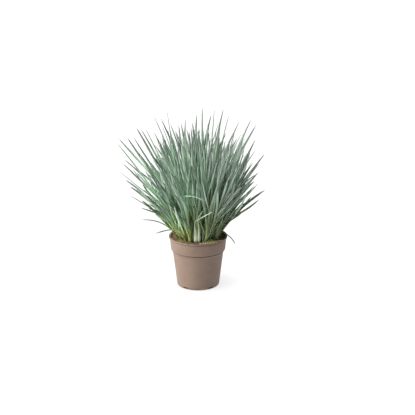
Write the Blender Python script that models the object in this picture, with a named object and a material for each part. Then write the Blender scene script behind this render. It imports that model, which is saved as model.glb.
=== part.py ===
# A potted ornamental grass: a thin moulded nursery pot, its peat root ball, and a clump of tillers.
# Each tiller is one solid: a short sheath whose top divides into a fan of keeled blades.
# Metres, +Z up. The origin is on the floor, at the middle of the pot's base.

import math
import random

import bmesh
import bpy
from mathutils import Quaternion, Vector, noise
from mathutils.bvhtree import BVHTree

UP = Vector((0, 0, 1))
GAP = 0.0003  # between solids that rest on each other

# Pot, a turned thin wall with a banded rim
POT_HEIGHT = 0.105
LIP_RADIUS = 0.060
LIP_HEIGHT = 0.0035
BAND_TOP_RADIUS = 0.0582
BAND_FOOT_RADIUS = 0.0560
BAND_FOOT_Z = 0.0770
SHOULDER_RADIUS = 0.0523
SHOULDER_Z = 0.0717
BASE_RADIUS = 0.0443
BASE_CORNER = 0.0035
CORNER_STEPS = 3
WALL = 0.0012
FLOOR_THICKNESS = 0.0015
POT_SIDES = 36

# Drain slots, cut through the corner where the wall meets the base
DRAIN_COUNT = 5
DRAIN_FIRST_ANGLE = math.radians(-54)
DRAIN_WIDTH = 0.012
DRAIN_HEIGHT = 0.0042
DRAIN_INNER_RADIUS = 0.0370

# Root ball, which fills the pot to just under its lip
SOIL_RIM_Z = 0.0990
SOIL_MIDDLE_Z = 0.1020
SOIL_RINGS = 4
SOIL_SIDES = 18
SOIL_LUMP = 0.0012
SOIL_LUMP_SIZE = 0.014

# Clump of tillers
TILLER_COUNT = 48
CROWN_CENTRE = Vector((0.003, 0, 0))
CROWN_RADIUS = 0.042
TILLER_SPACING = 0.0105
SPACING_SHRINK = 0.9995
STANDING_GAP = 0.0006  # under a sheath, which stands on lumpy soil
BLADES_PER_TILLER = 6
SHEATH_HEIGHT = (0.012, 0.022)
SLAB_THICKNESS = 0.0013  # of each blade where it leaves the sheath
SHEATH_HALF_WIDTH = 0.0031
SHEATH_END_SHARE = 0.62  # how narrow the two ends of a sheath are, against its middle
SHEATH_FOOT_SHARE = 0.80
TILLER_LEAN_MIDDLE = math.radians(3)
TILLER_LEAN_EDGE = math.radians(32)
FAN_SPREAD = (math.radians(16), math.radians(30))
LEAN_SOFT_LIMIT = math.radians(40)  # past which only a share of a blade's lean is kept
LEAN_KEPT = 0.35

# The fat pale tiller at the front of the clump, whose blades lie one behind the other
FRONT_TILLER = Vector((-0.002, -0.0365, 0))
FRONT_SHEATH_HEIGHT = 0.026
FRONT_SLAB_THICKNESS = 0.0013
FRONT_HALF_WIDTH = 0.0062
FRONT_LEAN_SHARE = 0.4

# Blades: lengths, widths and how they bend
BLADE_LENGTH = 0.262
BLADE_LENGTH_LOW = 0.100  # of the blades that lie lowest
SHORTEST = 0.070
LENGTH_LEANS = (math.radians(25), math.radians(70))  # between them blades get shorter
LENGTH_SHARE = (0.70, 1.00)
BLADE_WIDTH = (0.0044, 0.0066)
RING_PLACES = (0.14, 0.47, 0.79)
RING_WIDTHS = (0.90, 1.00, 0.76)
RING_KEELS = (0.36, 0.26, 0.22)  # keel depth against the width there
TWIST = math.radians(58)  # the most, either way, over the whole blade
ARCH_UPRIGHT = math.radians(7)
ARCH_PER_LEAN = 0.36
HANDLE_SHARE = 0.36
SHEATH_PULL = 0.45  # how far a blade starts along its sheath
BLADE_CLEARANCE = 0.00035
FOOT_RAISED = 0.12  # how far up its foot a blade has parted from its neighbours
TRIES = 200

# Clump's dense part: how far it reaches from the crown, upright and low down
CROWN_TOP = Vector((0.003, 0, 0.105))
DENSE_REACH = 0.226
DENSE_REACH_LOW = 0.088
DENSE_LEANS = (math.radians(12), math.radians(80))
STRAY = (0.90, 1.35)  # how far blades towards the front and back may reach, against that

# Tips of the blades that stand out, as (x, z) in the upright plane through the pot's axis,
# where they are seen from EYE. Left side from the top down, then the top, then the right side.
EYE = Vector((0.019, -1.440, 0.582))
OUTLINE_DEPTH = 0.065  # how far in front of that plane or behind it they may end
OUTLINE_SHIFT = 2  # how much more freely they move in depth, to find room
OUTLINE_TIPS = (
    (-0.123, 0.331), (-0.114, 0.328), (-0.105, 0.330), (-0.128, 0.310), (-0.141, 0.310),
    (-0.159, 0.309), (-0.162, 0.299), (-0.149, 0.265), (-0.134, 0.251), (-0.133, 0.247),
    (-0.159, 0.241), (-0.148, 0.223), (-0.138, 0.208), (-0.139, 0.190), (-0.115, 0.179),
    (-0.118, 0.164), (-0.102, 0.162), (-0.116, 0.138), (-0.089, 0.108),
    (-0.087, 0.353), (-0.073, 0.348), (-0.072, 0.335), (-0.061, 0.365), (-0.055, 0.338),
    (-0.038, 0.335), (-0.033, 0.339), (-0.024, 0.348), (-0.018, 0.325), (-0.011, 0.340),
    (-0.002, 0.356), (-0.002, 0.332), (0.005, 0.329), (0.009, 0.372), (0.027, 0.355),
    (0.033, 0.368), (0.051, 0.368), (0.045, 0.333), (0.063, 0.357),
    (0.083, 0.343), (0.074, 0.322), (0.106, 0.346), (0.116, 0.335), (0.092, 0.308),
    (0.115, 0.305), (0.117, 0.286), (0.134, 0.276), (0.123, 0.256), (0.122, 0.238),
    (0.101, 0.218), (0.122, 0.216), (0.136, 0.201), (0.099, 0.196), (0.124, 0.181),
    (0.084, 0.150), (0.077, 0.148), (0.077, 0.084),
)

SEED = 5


def clear_scene():
    for thing in list(bpy.data.objects):
        bpy.data.objects.remove(thing, do_unlink=True)


def make_material(name, colour, roughness):
    material = bpy.data.materials.new(name)
    material.use_nodes = True
    shader = material.node_tree.nodes["Principled BSDF"]
    shader.inputs["Base Color"].default_value = (*colour, 1)
    shader.inputs["Roughness"].default_value = roughness
    shader.inputs["Metallic"].default_value = 0
    material.diffuse_color = (*colour, 1)
    return material


def add_object(name, bm, material, place=Vector((0, 0, 0))):
    """The bmesh as an object at this place."""
    bmesh.ops.translate(bm, verts=bm.verts, vec=-place)
    mesh = bpy.data.meshes.new(name)
    bm.to_mesh(mesh)
    bm.free()
    mesh.materials.append(material)
    thing = bpy.data.objects.new(name, mesh)
    thing.location = place
    bpy.context.scene.collection.objects.link(thing)
    return thing


def between(rng, limits):
    return rng.uniform(*limits)


# Pot and root ball


def corner_arc(radius, corner):
    """Points of a rounded corner from the base up to the wall."""
    centre = (radius - corner, corner)
    angles = [-math.pi / 2 * (1 - step / CORNER_STEPS) for step in range(CORNER_STEPS + 1)]
    return [(centre[0] + corner * math.cos(a), centre[1] + corner * math.sin(a)) for a in angles]


def pot_inside():
    """The inner wall as (radius, z), from the lip down to the floor's edge."""
    return [
        (BAND_TOP_RADIUS - WALL, POT_HEIGHT),
        (BAND_FOOT_RADIUS - WALL, BAND_FOOT_Z + WALL / 2),
        (SHOULDER_RADIUS - WALL, SHOULDER_Z + WALL / 2),
        (BASE_RADIUS - WALL, BASE_CORNER + FLOOR_THICKNESS),
        (BASE_RADIUS - BASE_CORNER, FLOOR_THICKNESS),
    ]


def pot_outline():
    """Half of the pot's section as (radius, z), from the middle underneath to the middle of the floor."""
    outside = [
        (0, 0),
        *corner_arc(BASE_RADIUS, BASE_CORNER),
        (SHOULDER_RADIUS, SHOULDER_Z),
        (BAND_FOOT_RADIUS, BAND_FOOT_Z),
        (BAND_TOP_RADIUS, POT_HEIGHT - LIP_HEIGHT),
        (LIP_RADIUS, POT_HEIGHT - LIP_HEIGHT),
        (LIP_RADIUS, POT_HEIGHT),
    ]
    return outside + pot_inside() + [(0, FLOOR_THICKNESS)]


def turned(outline, sides):
    """A bmesh of the outline turned about the Z axis."""
    bm = bmesh.new()
    verts = [bm.verts.new((radius, 0, z)) for radius, z in outline]
    edges = [bm.edges.new(pair) for pair in zip(verts, verts[1:])]
    full_turn = {"angle": math.tau, "steps": sides, "use_merge": True}
    bmesh.ops.spin(bm, geom=verts + edges, axis=UP, cent=(0, 0, 0), **full_turn)
    bmesh.ops.remove_doubles(bm, verts=bm.verts, dist=1e-6)
    bmesh.ops.recalc_face_normals(bm, faces=bm.faces)
    return bm


def build_drain_cutter(material):
    """One box for each slot, reaching out past the wall and down past the base."""
    depth = BASE_RADIUS + BASE_CORNER - DRAIN_INNER_RADIUS
    bm = bmesh.new()
    for index in range(DRAIN_COUNT):
        angle = DRAIN_FIRST_ANGLE + math.tau * index / DRAIN_COUNT
        box = bmesh.ops.create_cube(bm, size=1)["verts"]
        bmesh.ops.scale(bm, verts=box, vec=(depth, DRAIN_WIDTH, 2 * DRAIN_HEIGHT))
        bmesh.ops.translate(bm, verts=box, vec=(DRAIN_INNER_RADIUS + depth / 2, 0, 0))
        turn = Quaternion(UP, angle).to_matrix()
        bmesh.ops.rotate(bm, verts=box, cent=(0, 0, 0), matrix=turn)
    cutter = add_object("drain_cutter", bm, material)
    cutter.hide_render = True
    cutter.display_type = "WIRE"
    return cutter


def build_pot():
    plastic = make_material("taupe_polypropylene", (0.33, 0.22, 0.17), 0.55)
    pot = add_object("pot", turned(pot_outline(), POT_SIDES), plastic)
    pot.data.shade_smooth()
    pot.data.set_sharp_from_angle(angle=math.radians(25))
    slots = pot.modifiers.new("drain_slots", "BOOLEAN")
    slots.operation = "DIFFERENCE"
    slots.object = build_drain_cutter(plastic)
    return pot


def soil_outline():
    """Half of the root ball's section, from the middle underneath, up the wall and over the top."""
    wall = [(radius - GAP, z + GAP) for radius, z in reversed(pot_inside())]
    mouth, foot = wall[-1], wall[-2]
    share = (SOIL_RIM_Z - foot[1]) / (mouth[1] - foot[1])
    rim = foot[0] + share * (mouth[0] - foot[0])
    top = []
    for ring in range(SOIL_RINGS + 1):
        out = 1 - ring / SOIL_RINGS
        top.append((rim * out, SOIL_MIDDLE_Z + (SOIL_RIM_Z - SOIL_MIDDLE_Z) * out**2))
    return [(0, FLOOR_THICKNESS + GAP)] + wall[:-1] + top


def build_soil():
    peat = make_material("peat", (0.035, 0.026, 0.015), 0.95)
    bm = turned(soil_outline(), SOIL_SIDES)
    for vert in bm.verts:
        if vert.co.z > SOIL_RIM_Z - GAP:
            vert.co.z += SOIL_LUMP * noise.noise(vert.co / SOIL_LUMP_SIZE)
    return add_object("soil", bm, peat)


# Tillers


def leaning(lean, heading):
    """The unit vector that leans this far from upright, towards this heading."""
    return Vector((math.sin(lean) * math.cos(heading), math.sin(lean) * math.sin(heading), math.cos(lean)))


def crown_places(rng):
    """Where the tillers stand, spread over the crown and never closer than they can grow."""
    places = [FRONT_TILLER.copy()]
    spacing = TILLER_SPACING
    while len(places) < TILLER_COUNT:
        out = CROWN_RADIUS * math.sqrt(rng.random())
        heading = rng.uniform(0, math.tau)
        place = CROWN_CENTRE + Vector((out * math.cos(heading), out * math.sin(heading), 0))
        if all((place - other).length > spacing for other in places):
            places.append(place)
        spacing *= SPACING_SHRINK
    return places


def plan_tiller(rng, place):
    """A tiller's own frame and sizes: its axis, and its fan of blades side by side along "fan"."""
    front = place == FRONT_TILLER
    from_middle = place - CROWN_CENTRE
    reach = from_middle.length / CROWN_RADIUS
    heading = math.atan2(from_middle.y, from_middle.x) + rng.gauss(0, 0.3)
    lean = TILLER_LEAN_MIDDLE + (TILLER_LEAN_EDGE - TILLER_LEAN_MIDDLE) * reach
    lean += rng.gauss(0, math.radians(3))
    fan_heading = -math.pi / 2 if front else heading + rng.gauss(0, 0.9)
    axis = leaning(lean * (FRONT_LEAN_SHARE if front else 1), heading)
    across = axis.cross(leaning(math.pi / 2, fan_heading)).normalized()
    thickness = FRONT_SLAB_THICKNESS if front else SLAB_THICKNESS * rng.uniform(0.9, 1.15)
    return {
        "foot": place,
        "axis": axis,
        "across": across,
        "fan": across.cross(axis),
        "half_length": thickness * BLADES_PER_TILLER / 2,
        "half_width": FRONT_HALF_WIDTH if front else SHEATH_HALF_WIDTH * rng.uniform(0.9, 1.15),
        "height": FRONT_SHEATH_HEIGHT if front else between(rng, SHEATH_HEIGHT),
        "spread": between(rng, FAN_SPREAD),
    }


def sheath_point(tiller, along, side, top):
    """A point of the sheath. "along" runs from -1 to 1 through the fan, and "side" is -1 or 1."""
    width = tiller["half_width"] * (1 - (1 - SHEATH_END_SHARE) * along**2)
    offset = tiller["fan"] * (along * tiller["half_length"]) + tiller["across"] * (side * width)
    if top:
        return tiller["foot"] + tiller["axis"] * tiller["height"] + offset
    return tiller["foot"] + Vector((offset.x, offset.y, 0)) * SHEATH_FOOT_SHARE


def stand_on(tiller, soil_tree):
    """Lifts the tiller until its whole foot is clear of the soil."""
    highest = 0
    for along in (-1, -0.5, 0, 0.5, 1):
        for side in (-1, 0, 1):
            above = sheath_point(tiller, along, side, False) + UP * POT_HEIGHT * 2
            highest = max(highest, soil_tree.ray_cast(above, -UP)[0].z)
    tiller["foot"].z = highest + STANDING_GAP


# Blades


def seen(point):
    """Where the eye sees a point, in the upright plane through the pot's axis."""
    return EYE + (point - EYE) * (-EYE.y / (point.y - EYE.y))


def seen_at(spot, depth):
    """The point at this depth that the eye sees at this (x, z) spot."""
    return EYE.lerp(Vector((spot[0], 0, spot[1])), 1 - depth / EYE.y)


def eased(upright, low, leans, lean):
    """Goes smoothly from the upright value to the low one between two leans."""
    share = min(1, max(0, (lean - leans[0]) / (leans[1] - leans[0])))
    return upright + (low - upright) * share * share * (3 - 2 * share)


def plan_blade(rng, tiller, index):
    """A blade's start, tip and sizes, before the outline and its neighbours change them."""
    along = (2 * index + 1) / BLADES_PER_TILLER - 1
    out = math.tan(along * tiller["spread"] + rng.gauss(0, 0.04))
    heading = (tiller["axis"] + tiller["fan"] * out + tiller["across"] * rng.gauss(0, 0.11)).normalized()
    too_low = heading.angle(UP) - LEAN_SOFT_LIMIT
    if too_low > 0:
        heading = Quaternion(heading.cross(UP), too_low * (1 - LEAN_KEPT)) @ heading
    root = tiller["foot"] + tiller["axis"] * tiller["height"] + tiller["fan"] * along * tiller["half_length"]
    length = eased(BLADE_LENGTH, BLADE_LENGTH_LOW, LENGTH_LEANS, heading.angle(UP))
    length *= between(rng, LENGTH_SHARE)
    return {
        "tiller": tiller,
        "index": index,
        "keel_side": 1 if along > 0.01 or (along > -0.01 and rng.random() < 0.5) else -1,
        "root": root,
        "tip": root + heading * fitting_length(root, heading, length, between(rng, STRAY)),
        "width": between(rng, BLADE_WIDTH),
        "twist": rng.uniform(-TWIST, TWIST),
        "arch": rng.uniform(0.5, 1.4),
        "sway": rng.gauss(0, math.radians(3)),
        "spot": None,
    }


def in_dense_part(point, stray):
    reach = point - CROWN_TOP
    return reach.length < stray * eased(DENSE_REACH, DENSE_REACH_LOW, DENSE_LEANS, reach.angle(UP))


def fitting_length(root, heading, length, stray):
    """The length, shortened until the tip stays in the clump, and is seen in its dense part."""
    while length > SHORTEST:
        tip = root + heading * length
        if in_dense_part(tip, stray) and in_dense_part(seen(tip), 1):
            break
        length *= 0.98
    return length


def stand_out(blades):
    """Gives each tip of the outline to the blade that comes closest to it."""
    for spot in OUTLINE_TIPS:
        wanted = Vector((spot[0], 0, spot[1]))
        free = [blade for blade in blades if not blade["spot"]]
        blade = min(free, key=lambda one: (seen(one["tip"]) - wanted).length)
        blade["spot"] = spot
        depth = min(OUTLINE_DEPTH, max(-OUTLINE_DEPTH, blade["tip"].y))
        blade["tip"] = seen_at(spot, depth)


def centre_line(blade):
    """The four points of the blade's Bezier curve."""
    root, tip = blade["root"], blade["tip"]
    chord = tip - root
    bend = UP.cross(chord)
    bend = bend.normalized() if bend.length > 1e-6 else Vector((1, 0, 0))
    arch = blade["arch"] * (ARCH_UPRIGHT + ARCH_PER_LEAN * chord.angle(UP))
    start = Quaternion(bend, -arch / 2) @ chord.normalized()
    start = start.lerp(blade["tiller"]["axis"], SHEATH_PULL).normalized()
    end = Quaternion(UP, blade["sway"]) @ (Quaternion(bend, arch / 2) @ chord.normalized())
    reach = HANDLE_SHARE * chord.length
    return root, root + start * reach, tip - end * reach, tip


def along_curve(points, place):
    """A point of a cubic Bezier curve and the direction there."""
    a, b, c = (points[i].lerp(points[i + 1], place) for i in range(3))
    first, second = a.lerp(b, place), b.lerp(c, place)
    return first.lerp(second, place), (second - first).normalized()


def blade_rings(blade, grown=0):
    """The blade's triangular sections, each as its left edge, right edge and keel, and its tip."""
    curve = centre_line(blade)
    rings = []
    for place, width_share, keel_share in zip(RING_PLACES, RING_WIDTHS, RING_KEELS):
        middle, ahead = along_curve(curve, place)
        across = blade["tiller"]["across"]
        across = (across - ahead * across.dot(ahead)).normalized()
        across = Quaternion(ahead, blade["twist"] * place) @ across
        keel = across.cross(ahead) * blade["keel_side"]
        half = blade["width"] * width_share / 2
        depth = 2 * half * keel_share
        half += 2 * grown
        rings.append(
            [
                middle - across * half - keel * grown,
                middle + across * half - keel * grown,
                middle + keel * (depth + grown),
            ]
        )
    return rings, curve[3]


def cut_across(points, quad):
    """The quad as two triangles, parted along its shorter diagonal."""
    a, b, c, d = quad
    if (points[a] - points[c]).length <= (points[b] - points[d]).length:
        return [(a, b, c), (a, c, d)]
    return [(a, b, d), (b, c, d)]


def blade_shell(rings, tip):
    """Points and triangles of the blade from its first ring to its tip."""
    points = [point for ring in rings for point in ring] + [tip]
    faces = []
    for ring in range(len(rings)):
        for a, b in ((0, 1), (1, 2), (2, 0)):
            low = (3 * ring + a, 3 * ring + b)
            if ring < len(rings) - 1:
                faces += cut_across(points, low + (3 * ring + 3 + b, 3 * ring + 3 + a))
            else:
                faces.append(low + (len(points) - 1,))
    return points, faces


def sheath_shell(tiller):
    """Points and faces round the sheath."""
    count = BLADES_PER_TILLER
    places = [(2 * i / count - 1, -1) for i in range(count + 1)]
    places += [(-along, 1) for along, _ in places]
    points = [sheath_point(tiller, *place, top) for top in (False, True) for place in places]
    turn = len(places)
    faces = [(i, (i + 1) % turn, (i + 1) % turn + turn, i + turn) for i in range(turn)]
    return points, faces


def slab_corners(blade):
    """The top of the sheath where this blade grows: inner left, inner right, outer right, outer left."""
    low = 2 * blade["index"] / BLADES_PER_TILLER - 1
    high = low + 2 / BLADES_PER_TILLER
    inner, outer = (low, high) if blade["keel_side"] > 0 else (high, low)
    places = ((inner, -1), (inner, 1), (outer, 1), (outer, -1))
    return [sheath_point(blade["tiller"], along, side, True) for along, side in places]


def foot_shell(blade, ring, raised=0):
    """Points and faces from the sheath's top, or from this share of the way up, to the blade's first ring."""
    left, right, keel = ring
    ends = (left, right, keel, keel)
    points = [corner.lerp(end, raised) for corner, end in zip(slab_corners(blade), ends)] + ring
    faces = [(2, 3, 6)]
    for quad in ((0, 1, 5, 4), (1, 2, 6, 5), (3, 0, 4, 6)):
        faces += cut_across(points, quad)
    return points, faces


class Thicket:
    """What stands in a blade's way, by tiller.

    "low" is the sheath with the feet of its blades, and "high" is the blades past their feet. "feet" is the
    feet from just above the sheath, where neighbours no longer share an edge.
    """

    def __init__(self, fixed):
        self.fixed = fixed
        self.low = {}
        self.feet = {}
        self.high = {}

    def add(self, store, tiller, shell):
        points, faces = store.setdefault(id(tiller), ([], []))[:2]
        first = len(points)
        points.extend(shell[0])
        faces.extend(tuple(first + i for i in face) for face in shell[1])
        store[id(tiller)] = (points, faces, BVHTree.FromPolygons(points, faces))

    def add_blade(self, blade):
        rings, tip = blade_rings(blade)
        tiller = blade["tiller"]
        self.add(self.low, tiller, foot_shell(blade, rings[0]))
        self.add(self.feet, tiller, foot_shell(blade, rings[0], FOOT_RAISED))
        self.add(self.high, tiller, blade_shell(rings, tip))

    def blocks(self, blade):
        """Whether the blade would touch the pot, the soil or any other blade or sheath."""
        rings, tip = blade_rings(blade, BLADE_CLEARANCE)
        shell = BVHTree.FromPolygons(*blade_shell(rings, tip))
        foot = BVHTree.FromPolygons(*foot_shell(blade, rings[0]))
        raised = BVHTree.FromPolygons(*foot_shell(blade, rings[0], FOOT_RAISED))
        own = id(blade["tiller"])
        if own in self.feet and (self.feet[own][2].overlap(shell) or self.feet[own][2].overlap(raised)):
            return True
        others = [kept[2] for tiller, kept in self.low.items() if tiller != own]
        others += [kept[2] for kept in self.high.values()]
        others += self.fixed
        return any(tree.overlap(shell) or tree.overlap(foot) for tree in others)


def settle(rng, blade, thicket):
    """Moves the blade a little at a time until nothing blocks it. Says whether a place was found."""
    tip, width = blade["tip"].copy(), blade["width"]
    for attempt in range(TRIES):
        if not thicket.blocks(blade):
            return True
        stray = 0.001 + 0.022 * attempt / TRIES
        shift = Vector([rng.gauss(0, stray) for _ in range(3)])
        if blade["spot"]:
            blade["tip"] = seen_at(blade["spot"], tip.y + OUTLINE_SHIFT * shift.y)
        else:
            blade["tip"] = tip + shift
        blade["twist"] = rng.uniform(-TWIST, TWIST)
        blade["arch"] = rng.uniform(0.4, 1.5)
        blade["sway"] = rng.gauss(0, math.radians(3 + 8 * attempt / TRIES))
        blade["width"] = width * rng.uniform(0.7, 1)
    return False


# Solids of the tillers


def place_all(rng, pot_tree, soil_tree):
    """Plans every tiller and every blade that finds room, the ones of the outline first."""
    tillers = [plan_tiller(rng, place) for place in crown_places(rng)]
    thicket = Thicket([pot_tree, soil_tree])
    for tiller in tillers:
        stand_on(tiller, soil_tree)
        thicket.add(thicket.low, tiller, sheath_shell(tiller))
    blades = [plan_blade(rng, tiller, index) for tiller in tillers for index in range(BLADES_PER_TILLER)]
    stand_out(blades)
    blades.sort(key=lambda blade: blade["spot"] is None)
    for blade in blades:
        blade["grows"] = settle(rng, blade, thicket)
        if blade["grows"]:
            thicket.add_blade(blade)
    return tillers, blades


def grow_blade(bm, face, blade):
    """Draws the blade out of one slab of the sheath's top: ring after ring, then to a point."""
    rings, tip = blade_rings(blade)
    corners = slab_corners(blade)
    face = bmesh.ops.extrude_discrete_faces(bm, faces=[face])["faces"][0]
    inner_left, inner_right, *outer = (
        min(face.verts, key=lambda vert: (vert.co - corner).length) for corner in corners
    )
    inner_left.co, inner_right.co, keel = rings[0]
    bmesh.ops.pointmerge(bm, verts=outer, merge_co=keel)
    face = next(one for one in inner_left.link_faces if len(one.verts) == 3 and inner_right in one.verts)
    for before, after in zip(rings, rings[1:]):
        face = bmesh.ops.extrude_discrete_faces(bm, faces=[face])["faces"][0]
        moves = [(vert, min(range(3), key=lambda i: (vert.co - before[i]).length)) for vert in face.verts]
        for vert, corner in moves:
            vert.co = after[corner]
    bmesh.ops.poke(bm, faces=[face])["verts"][0].co = tip


def build_tiller(name, tiller, blades, material):
    """The sheath, a block in as many slabs as it has blades, with a blade out of each slab."""
    count = BLADES_PER_TILLER
    bm = bmesh.new()
    bmesh.ops.create_cube(bm, size=2)
    along_fan = [edge for edge in bm.edges if abs(edge.verts[0].co.x - edge.verts[1].co.x) > 1]
    bmesh.ops.subdivide_edges(bm, edges=along_fan, cuts=count - 1, use_grid_fill=True)
    tops = [face for face in bm.faces if all(vert.co.z > 0 for vert in face.verts)]
    tops.sort(key=lambda face: face.calc_center_median().x)
    for vert in bm.verts:
        vert.co = sheath_point(tiller, vert.co.x, math.copysign(1, vert.co.y), vert.co.z > 0)
    for blade in blades:
        grow_blade(bm, tops[blade["index"]], blade)
    bmesh.ops.triangulate(bm, faces=bm.faces, quad_method="SHORT_EDGE")
    thing = add_object(name, bm, material, tiller["foot"])
    thing.data.shade_smooth()
    thing.data.set_sharp_from_angle(angle=math.radians(40))
    return thing


def tree_of(thing):
    """The object's surface, for finding what touches it."""
    graph = bpy.context.evaluated_depsgraph_get()
    return BVHTree.FromObject(thing, graph)


def main():
    clear_scene()
    rng = random.Random(SEED)
    pot = build_pot()
    soil = build_soil()
    bpy.context.view_layer.update()
    tillers, blades = place_all(rng, tree_of(pot), tree_of(soil))
    green = make_material("blue_green_leaf", (0.19, 0.32, 0.24), 0.45)
    for number, tiller in enumerate(tillers, 1):
        own = [blade for blade in blades if blade["tiller"] is tiller and blade["grows"]]
        build_tiller(f"tiller_{number:02d}", tiller, own, green)
    grown = sum(blade["grows"] for blade in blades)
    print(f"{len(tillers)} tillers, {grown} of {len(blades)} blades")


main()
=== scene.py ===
# Potted clump of blue-green grass: the looks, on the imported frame.
# Metres, +Z up. The camera looks along +Y, with +X to the right.

import math
import random

import bmesh
import bpy
import numpy as np
from mathutils import Matrix, Quaternion, Vector, noise


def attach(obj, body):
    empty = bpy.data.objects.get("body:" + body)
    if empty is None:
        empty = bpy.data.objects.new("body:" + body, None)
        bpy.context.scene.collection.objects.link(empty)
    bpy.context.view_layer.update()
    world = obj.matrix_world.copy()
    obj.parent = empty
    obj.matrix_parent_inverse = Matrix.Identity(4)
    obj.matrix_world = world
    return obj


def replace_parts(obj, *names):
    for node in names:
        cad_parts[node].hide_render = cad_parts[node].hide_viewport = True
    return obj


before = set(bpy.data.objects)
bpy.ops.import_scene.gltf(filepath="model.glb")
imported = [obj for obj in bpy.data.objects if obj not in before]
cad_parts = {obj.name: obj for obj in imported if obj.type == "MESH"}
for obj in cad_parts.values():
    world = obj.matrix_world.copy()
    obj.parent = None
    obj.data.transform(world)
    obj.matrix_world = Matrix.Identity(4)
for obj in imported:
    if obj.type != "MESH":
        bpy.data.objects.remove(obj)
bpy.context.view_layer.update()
scene = bpy.context.scene
up = Vector((0, 0, 1))
rng = random.Random(11)


# Small tools

def lerp(a, b, share):
    return a + (b - a) * share


def clamped(value):
    return max(0.0, min(1.0, value))


def shareOf(value, low, high):
    # how far a value has come from low to high, held at both
    return clamped((value - low) / (high - low))


def toLinear(hexColour):
    # an sRGB hex value as linear red, green, blue and alpha
    parts = [int(hexColour[i:i + 2], 16) / 255 for i in (1, 3, 5)]
    return (*[p / 12.92 if p <= 0.04045 else ((p + 0.055) / 1.055) ** 2.4 for p in parts], 1.0)


def firstOutput(node):
    return next(output for output in node.outputs if output.enabled)


def addNode(tree, kind, settings=None, inputs=None):
    # a node with its settings; an input takes a value, an output, or a node whose first output is meant
    made = tree.nodes.new("ShaderNode" + kind)
    for name, value in (settings or {}).items():
        setattr(made, name, value)
    for key, value in (inputs or {}).items():
        if isinstance(value, bpy.types.Node):
            value = firstOutput(value)
        if isinstance(value, bpy.types.NodeSocket):
            tree.links.new(value, made.inputs[key])
        else:
            made.inputs[key].default_value = value
    return made


def newMaterial(name, **values):
    # a material with its Principled shader, whose uniform values are set here
    material = bpy.data.materials.new(name)
    material.use_nodes = True
    shader = material.node_tree.nodes["Principled BSDF"]
    for key, value in values.items():
        shader.inputs[key.replace("_", " ")].default_value = value
    return material, material.node_tree, shader


def intoShader(tree, shader, patterns):
    for socket, made in patterns.items():
        tree.links.new(firstOutput(made), shader.inputs[socket])


def meshObject(bm, name):
    mesh = bpy.data.meshes.new(name)
    bm.to_mesh(mesh)
    bm.free()
    made = bpy.data.objects.new(name, mesh)
    scene.collection.objects.link(made)
    return made


def finishPiece(bm, name, material):
    # the bmesh as a finished piece of the plant or its pot
    bmesh.ops.recalc_face_normals(bm, faces=bm.faces)
    piece = meshObject(bm, name)
    piece.data.materials.append(material)
    piece.data.shade_smooth()
    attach(piece, "root")
    return piece


# Camera and light

viewing = {"place": (0.0193, -1.4404, 0.5823), "pitch": 16.2, "lens": 63.98, "sensor": 36.0, "pixels": 415}

camera = bpy.data.objects.new("camera", bpy.data.cameras.new("camera"))
camera.data.lens = viewing["lens"]
camera.data.sensor_width = viewing["sensor"]
camera.location = viewing["place"]
camera.rotation_euler = (math.radians(90 - viewing["pitch"]), 0, 0)
scene.collection.objects.link(camera)
scene.camera = camera


def atPixel(px, py, depth):
    # the point with this y that the camera sees at a pixel of its 415 pixel frame
    focal = viewing["lens"] / viewing["sensor"] * viewing["pixels"]
    middle = viewing["pixels"] / 2
    ray = camera.rotation_euler.to_matrix() @ Vector(((px - middle) / focal, (middle - py) / focal, -1))
    eye = Vector(viewing["place"])
    return eye + ray * ((depth - eye.y) / ray.y)


lighting = {
    "sky": "#F9F8FC", "skyStrength": 0.245,
    "keyColour": "#FCF9F4", "keyStrength": 6.7, "keyFrom": (-0.88, -0.24, 0.62), "keySoftness": 54,
}

world = bpy.data.worlds.new("softStudio")
world.use_nodes = True
background = world.node_tree.nodes["Background"]
background.inputs["Color"].default_value = toLinear(lighting["sky"])
background.inputs["Strength"].default_value = lighting["skyStrength"]
scene.world = world
scene.view_settings.view_transform = "Standard"

key = bpy.data.objects.new("keyLight", bpy.data.lights.new("keyLight", "SUN"))
key.data.energy = lighting["keyStrength"]
key.data.color = toLinear(lighting["keyColour"])[:3]
key.data.angle = math.radians(lighting["keySoftness"])
key.rotation_euler = Vector(lighting["keyFrom"]).to_track_quat("Z", "Y").to_euler()
scene.collection.objects.link(key)


# Floor

# painted shadow: a dark disc under the pot, then a glow that rises outwards and fades the real shadow; radii
# from the pot's axis
floorLook = {
    "panel": "#545454", "halfWidth": 80, "paintedShadowRadius": 0.0400, "paintedShadowEnd": 0.0448,
    "nearRadius": 0.046, "farRadius": 0.090, "glowNear": 0.83, "glowFar": 0.98,
}


def buildFloor(look):
    # back-lit frosted acrylic: an even white glow, painted down to a dark disc under the pot as a contact
    # shadow and rising outwards, so the real shadow shows only faintly close to the pot
    material, tree, shader = newMaterial("backlitAcrylicPaintedShadow", Roughness=0.9)
    shader.inputs["Base Color"].default_value = toLinear(look["panel"])
    shader.inputs["Emission Color"].default_value = (1, 1, 1, 1)
    place = addNode(tree, "TexCoord").outputs["Object"]
    apart = addNode(tree, "VectorMath", {"operation": "LENGTH"}, {0: place}).outputs["Value"]
    glow = addNode(tree, "Math", {"operation": "MULTIPLY"}, {
        0: addNode(tree, "MapRange", None, {
            0: apart, 1: look["nearRadius"], 2: look["farRadius"], 3: look["glowNear"], 4: look["glowFar"]}),
        1: addNode(tree, "MapRange", None, {0: apart, 1: look["paintedShadowRadius"], 2: look["paintedShadowEnd"]})})
    intoShader(tree, shader, {"Emission Strength": glow})
    bm = bmesh.new()
    bmesh.ops.create_grid(bm, x_segments=1, y_segments=1, size=look["halfWidth"])
    floor = meshObject(bm, "floor")
    floor.data.materials.append(material)


buildFloor(floorLook)
print("camera, light and floor are set")


# Materials

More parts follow.
